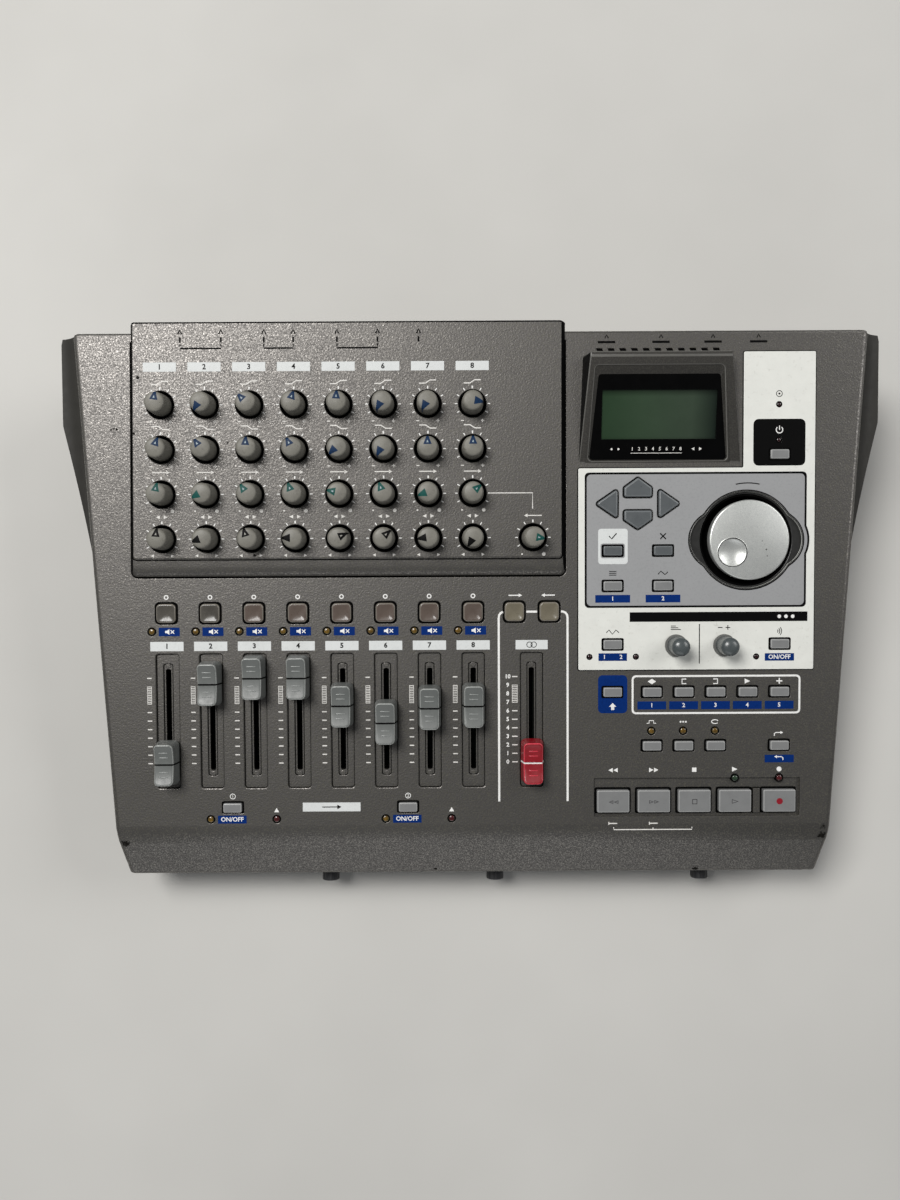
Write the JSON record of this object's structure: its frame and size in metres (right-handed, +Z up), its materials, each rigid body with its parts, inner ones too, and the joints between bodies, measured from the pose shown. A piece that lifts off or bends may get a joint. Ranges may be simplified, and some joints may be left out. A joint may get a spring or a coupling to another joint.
{
  "type": "digital multitrack recorder",
  "caption": "Desktop multitrack recorder: wedge case with rotary mixer block, slide faders, data dial, keys, display, front and rear sockets.",
  "frame": {"origin": "centre of the bounding box, on the plane under the feet", "axes": "+X to the user's right, +Y to the back, +Z up"},
  "size_m": [0.4346, 0.2976, 0.0884],
  "materials": {
    "case_paint": "textured paint with fine speckle",
    "case_dark": "smooth moulded",
    "mixer_paint": "textured paint with fine speckle",
    "plate_white": "satin printed plate",
    "display": "gloss window",
    "boards": "soldered board",
    "sockets": "moulded socket bodies",
    "rubber": "matt",
    "screws": "zinc plated",
    "button_grey": "translucent cap",
    "dial_silver": "satin silver paint",
    "encoder_slate": "smooth",
    "fader_grey": "satin",
    "fader_red": "satin",
    "key_grey": "satin",
    "knob_dark": "satin",
    "knob_grey": "soft matt"
  },
  "bodies": {
    "case": {"bottom_case": "case_dark", "top_case": "case_paint", "mixer_panel": "mixer_paint", "control_plate": "plate_white", "display_window": "display", "circuit_boards": "boards", "io_sockets": "sockets", "rubber_feet": "rubber", "case_screws": "screws"},
    "track_buttons": {"track_buttons": "button_grey"},
    "data_dial": {"data_dial": "dial_silver"},
    "encoder_type": {"encoder_type": "encoder_slate"},
    "encoder_value": {"encoder_value": "encoder_slate"},
    "channel_1_fader": {"channel_1_fader": "fader_grey"},
    "channel_2_fader": {"channel_2_fader": "fader_grey"},
    "channel_3_fader": {"channel_3_fader": "fader_grey"},
    "channel_4_fader": {"channel_4_fader": "fader_grey"},
    "channel_5_fader": {"channel_5_fader": "fader_grey"},
    "channel_6_fader": {"channel_6_fader": "fader_grey"},
    "channel_7_fader": {"channel_7_fader": "fader_grey"},
    "channel_8_fader": {"channel_8_fader": "fader_grey"},
    "channel_master_fader": {"channel_master_fader": "fader_red"},
    "function_keys": {"function_keys": "key_grey"},
    "transport_keys": {"transport_keys": "key_grey"},
    "front_level_a": {"front_level_a": "knob_dark"},
    "front_level_b": {"front_level_b": "knob_dark"},
    "front_level_phones": {"front_level_phones": "knob_dark"},
    "effect_return_knob": {"effect_return_knob": "knob_grey"},
    "knob_pan_1": {"knob_pan_1": "knob_grey"},
    "knob_pan_2": {"knob_pan_2": "knob_grey"},
    "knob_pan_3": {"knob_pan_3": "knob_grey"},
    "knob_pan_4": {"knob_pan_4": "knob_grey"},
    "knob_pan_5": {"knob_pan_5": "knob_grey"},
    "knob_pan_6": {"knob_pan_6": "knob_grey"},
    "knob_pan_7": {"knob_pan_7": "knob_grey"},
    "knob_pan_8": {"knob_pan_8": "knob_grey"},
    "knob_send_1": {"knob_send_1": "knob_grey"},
    "knob_send_2": {"knob_send_2": "knob_grey"},
    "knob_send_3": {"knob_send_3": "knob_grey"},
    "knob_send_4": {"knob_send_4": "knob_grey"},
    "knob_send_5": {"knob_send_5": "knob_grey"},
    "knob_send_6": {"knob_send_6": "knob_grey"},
    "knob_send_7": {"knob_send_7": "knob_grey"},
    "knob_send_8": {"knob_send_8": "knob_grey"},
    "knob_eq_low_1": {"knob_eq_low_1": "knob_grey"},
    "knob_eq_low_2": {"knob_eq_low_2": "knob_grey"},
    "knob_eq_low_3": {"knob_eq_low_3": "knob_grey"},
    "knob_eq_low_4": {"knob_eq_low_4": "knob_grey"},
    "knob_eq_low_5": {"knob_eq_low_5": "knob_grey"},
    "knob_eq_low_6": {"knob_eq_low_6": "knob_grey"},
    "knob_eq_low_7": {"knob_eq_low_7": "knob_grey"},
    "knob_eq_low_8": {"knob_eq_low_8": "knob_grey"},
    "knob_eq_high_1": {"knob_eq_high_1": "knob_grey"},
    "knob_eq_high_2": {"knob_eq_high_2": "knob_grey"},
    "knob_eq_high_3": {"knob_eq_high_3": "knob_grey"},
    "knob_eq_high_4": {"knob_eq_high_4": "knob_grey"},
    "knob_eq_high_5": {"knob_eq_high_5": "knob_grey"},
    "knob_eq_high_6": {"knob_eq_high_6": "knob_grey"},
    "knob_eq_high_7": {"knob_eq_high_7": "knob_grey"},
    "knob_eq_high_8": {"knob_eq_high_8": "knob_grey"}
  },
  "joints": [
    {"name": "button_press", "type": "slide", "parent": "case", "child": "track_buttons", "axis": [0, 0.1219, -0.9925], "range_m": [0, 0.0008], "stiffness_N_per_m": 300, "springref_m": -0.0008},
    {"name": "dial_turn", "type": "hinge", "parent": "case", "child": "data_dial", "pos_m": [0.1436, 0.0333, 0.06377], "axis": [0, 0.1219, -0.9925], "continuous": true},
    {"name": "encoder_type_turn", "type": "hinge", "parent": "case", "child": "encoder_type", "pos_m": [0.1065, -0.02109, 0.05709], "axis": [0, 0.1219, -0.9925], "continuous": true},
    {"name": "encoder_value_turn", "type": "hinge", "parent": "case", "child": "encoder_value", "pos_m": [0.1317, -0.02109, 0.05709], "axis": [0, 0.1219, -0.9925], "continuous": true},
    {"name": "fader_1_slide", "type": "slide", "parent": "case", "child": "channel_1_fader", "axis": [0, 0.9925, 0.1219], "range_m": [-0.0005, 0.0445]},
    {"name": "fader_2_slide", "type": "slide", "parent": "case", "child": "channel_2_fader", "axis": [0, 0.9925, 0.1219], "range_m": [-0.042, 0.003]},
    {"name": "fader_3_slide", "type": "slide", "parent": "case", "child": "channel_3_fader", "axis": [0, 0.9925, 0.1219], "range_m": [-0.045, 0]},
    {"name": "fader_4_slide", "type": "slide", "parent": "case", "child": "channel_4_fader", "axis": [0, 0.9925, 0.1219], "range_m": [-0.045, 0]},
    {"name": "fader_5_slide", "type": "slide", "parent": "case", "child": "channel_5_fader", "axis": [0, 0.9925, 0.1219], "range_m": [-0.0305, 0.0145]},
    {"name": "fader_6_slide", "type": "slide", "parent": "case", "child": "channel_6_fader", "axis": [0, 0.9925, 0.1219], "range_m": [-0.0215, 0.0235]},
    {"name": "fader_7_slide", "type": "slide", "parent": "case", "child": "channel_7_fader", "axis": [0, 0.9925, 0.1219], "range_m": [-0.029, 0.016]},
    {"name": "fader_8_slide", "type": "slide", "parent": "case", "child": "channel_8_fader", "axis": [0, 0.9925, 0.1219], "range_m": [-0.03, 0.015]},
    {"name": "fader_master_slide", "type": "slide", "parent": "case", "child": "channel_master_fader", "axis": [0, 0.9925, 0.1219], "range_m": [-0.0005, 0.0445]},
    {"name": "key_function_press", "type": "slide", "parent": "case", "child": "function_keys", "axis": [0, 0.1219, -0.9925], "range_m": [0, 0.0008], "stiffness_N_per_m": 400, "springref_m": -0.0008},
    {"name": "key_transport_press", "type": "slide", "parent": "case", "child": "transport_keys", "axis": [0, 0.1219, -0.9925], "range_m": [0, 0.001], "stiffness_N_per_m": 300, "springref_m": -0.001},
    {"name": "level_a_turn", "type": "hinge", "parent": "case", "child": "front_level_a", "pos_m": [-0.0784, -0.13655, 0.0156], "axis": [0, 1, 0], "range_deg": [-150, 150]},
    {"name": "level_b_turn", "type": "hinge", "parent": "case", "child": "front_level_b", "pos_m": [0.0128, -0.13655, 0.0156], "axis": [0, 1, 0], "range_deg": [-150, 150]},
    {"name": "level_phones_turn", "type": "hinge", "parent": "case", "child": "front_level_phones", "pos_m": [0.1264, -0.13655, 0.0156], "axis": [0, 1, 0], "range_deg": [-150, 150]},
    {"name": "return_turn", "type": "hinge", "parent": "case", "child": "effect_return_knob", "pos_m": [0.0315, 0.03448, 0.06895], "axis": [0, 0.1219, -0.9925], "range_deg": [-250, 50]},
    {"name": "rotary_pan_1_turn", "type": "hinge", "parent": "case", "child": "knob_pan_1", "pos_m": [-0.1597, 0.03448, 0.06895], "axis": [0, 0.1219, -0.9925], "range_deg": [-155, 145]},
    {"name": "rotary_pan_2_turn", "type": "hinge", "parent": "case", "child": "knob_pan_2", "pos_m": [-0.1368, 0.03448, 0.06895], "axis": [0, 0.1219, -0.9925], "range_deg": [-40, 260]},
    {"name": "rotary_pan_3_turn", "type": "hinge", "parent": "case", "child": "knob_pan_3", "pos_m": [-0.1139, 0.03448, 0.06895], "axis": [0, 0.1219, -0.9925], "range_deg": [-133, 167]},
    {"name": "rotary_pan_4_turn", "type": "hinge", "parent": "case", "child": "knob_pan_4", "pos_m": [-0.091, 0.03448, 0.06895], "axis": [0, 0.1219, -0.9925], "range_deg": [-60, 240]},
    {"name": "rotary_pan_5_turn", "type": "hinge", "parent": "case", "child": "knob_pan_5", "pos_m": [-0.0681, 0.03448, 0.06895], "axis": [0, 0.1219, -0.9925], "range_deg": [-215, 85]},
    {"name": "rotary_pan_6_turn", "type": "hinge", "parent": "case", "child": "knob_pan_6", "pos_m": [-0.0452, 0.03448, 0.06895], "axis": [0, 0.1219, -0.9925], "range_deg": [-198, 102]},
    {"name": "rotary_pan_7_turn", "type": "hinge", "parent": "case", "child": "knob_pan_7", "pos_m": [-0.0223, 0.03448, 0.06895], "axis": [0, 0.1219, -0.9925], "range_deg": [-52, 248]},
    {"name": "rotary_pan_8_turn", "type": "hinge", "parent": "case", "child": "knob_pan_8", "pos_m": [0.0006, 0.03448, 0.06895], "axis": [0, 0.1219, -0.9925], "range_deg": [0, 300]},
    {"name": "rotary_send_1_turn", "type": "hinge", "parent": "case", "child": "knob_send_1", "pos_m": [-0.1597, 0.05721, 0.07174], "axis": [0, 0.1219, -0.9925], "range_deg": [-160, 140]},
    {"name": "rotary_send_2_turn", "type": "hinge", "parent": "case", "child": "knob_send_2", "pos_m": [-0.1368, 0.05721, 0.07174], "axis": [0, 0.1219, -0.9925], "range_deg": [-32, 268]},
    {"name": "rotary_send_3_turn", "type": "hinge", "parent": "case", "child": "knob_send_3", "pos_m": [-0.1139, 0.05721, 0.07174], "axis": [0, 0.1219, -0.9925], "range_deg": [-116, 184]},
    {"name": "rotary_send_4_turn", "type": "hinge", "parent": "case", "child": "knob_send_4", "pos_m": [-0.091, 0.05721, 0.07174], "axis": [0, 0.1219, -0.9925], "range_deg": [-130, 170]},
    {"name": "rotary_send_5_turn", "type": "hinge", "parent": "case", "child": "knob_send_5", "pos_m": [-0.0681, 0.05721, 0.07174], "axis": [0, 0.1219, -0.9925], "range_deg": [-72, 228]},
    {"name": "rotary_send_6_turn", "type": "hinge", "parent": "case", "child": "knob_send_6", "pos_m": [-0.0452, 0.05721, 0.07174], "axis": [0, 0.1219, -0.9925], "range_deg": [-130, 170]},
    {"name": "rotary_send_7_turn", "type": "hinge", "parent": "case", "child": "knob_send_7", "pos_m": [-0.0223, 0.05721, 0.07174], "axis": [0, 0.1219, -0.9925], "range_deg": [-40, 260]},
    {"name": "rotary_send_8_turn", "type": "hinge", "parent": "case", "child": "knob_send_8", "pos_m": [0.0006, 0.05721, 0.07174], "axis": [0, 0.1219, -0.9925], "range_deg": [-200, 100]},
    {"name": "rotary_eq_low_1_turn", "type": "hinge", "parent": "case", "child": "knob_eq_low_1", "pos_m": [-0.1597, 0.07994, 0.07453], "axis": [0, 0.1219, -0.9925], "range_deg": [-168, 132]},
    {"name": "rotary_eq_low_2_turn", "type": "hinge", "parent": "case", "child": "knob_eq_low_2", "pos_m": [-0.1368, 0.07994, 0.07453], "axis": [0, 0.1219, -0.9925], "range_deg": [-115, 185]},
    {"name": "rotary_eq_low_3_turn", "type": "hinge", "parent": "case", "child": "knob_eq_low_3", "pos_m": [-0.1139, 0.07994, 0.07453], "axis": [0, 0.1219, -0.9925], "range_deg": [-152, 148]},
    {"name": "rotary_eq_low_4_turn", "type": "hinge", "parent": "case", "child": "knob_eq_low_4", "pos_m": [-0.091, 0.07994, 0.07453], "axis": [0, 0.1219, -0.9925], "range_deg": [-123, 177]},
    {"name": "rotary_eq_low_5_turn", "type": "hinge", "parent": "case", "child": "knob_eq_low_5", "pos_m": [-0.0681, 0.07994, 0.07453], "axis": [0, 0.1219, -0.9925], "range_deg": [-15, 285]},
    {"name": "rotary_eq_low_6_turn", "type": "hinge", "parent": "case", "child": "knob_eq_low_6", "pos_m": [-0.0452, 0.07994, 0.07453], "axis": [0, 0.1219, -0.9925], "range_deg": [0, 300]},
    {"name": "rotary_eq_low_7_turn", "type": "hinge", "parent": "case", "child": "knob_eq_low_7", "pos_m": [-0.0223, 0.07994, 0.07453], "axis": [0, 0.1219, -0.9925], "range_deg": [-150, 150]},
    {"name": "rotary_eq_low_8_turn", "type": "hinge", "parent": "case", "child": "knob_eq_low_8", "pos_m": [0.0006, 0.07994, 0.07453], "axis": [0, 0.1219, -0.9925], "range_deg": [-150, 150]},
    {"name": "rotary_eq_high_1_turn", "type": "hinge", "parent": "case", "child": "knob_eq_high_1", "pos_m": [-0.1597, 0.10267, 0.07732], "axis": [0, 0.1219, -0.9925], "range_deg": [-158, 142]},
    {"name": "rotary_eq_high_2_turn", "type": "hinge", "parent": "case", "child": "knob_eq_high_2", "pos_m": [-0.1368, 0.10267, 0.07732], "axis": [0, 0.1219, -0.9925], "range_deg": [-5, 295]},
    {"name": "rotary_eq_high_3_turn", "type": "hinge", "parent": "case", "child": "knob_eq_high_3", "pos_m": [-0.1139, 0.10267, 0.07732], "axis": [0, 0.1219, -0.9925], "range_deg": [-105, 195]},
    {"name": "rotary_eq_high_4_turn", "type": "hinge", "parent": "case", "child": "knob_eq_high_4", "pos_m": [-0.091, 0.10267, 0.07732], "axis": [0, 0.1219, -0.9925], "range_deg": [-167, 133]},
    {"name": "rotary_eq_high_5_turn", "type": "hinge", "parent": "case", "child": "knob_eq_high_5", "pos_m": [-0.0681, 0.10267, 0.07732], "axis": [0, 0.1219, -0.9925], "range_deg": [-153, 147]},
    {"name": "rotary_eq_high_6_turn", "type": "hinge", "parent": "case", "child": "knob_eq_high_6", "pos_m": [-0.0452, 0.10267, 0.07732], "axis": [0, 0.1219, -0.9925], "range_deg": [0, 300]},
    {"name": "rotary_eq_high_7_turn", "type": "hinge", "parent": "case", "child": "knob_eq_high_7", "pos_m": [-0.0223, 0.10267, 0.07732], "axis": [0, 0.1219, -0.9925], "range_deg": [0, 300]},
    {"name": "rotary_eq_high_8_turn", "type": "hinge", "parent": "case", "child": "knob_eq_high_8", "pos_m": [0.0006, 0.10267, 0.07732], "axis": [0, 0.1219, -0.9925], "range_deg": [-250, 50]}
  ]
}
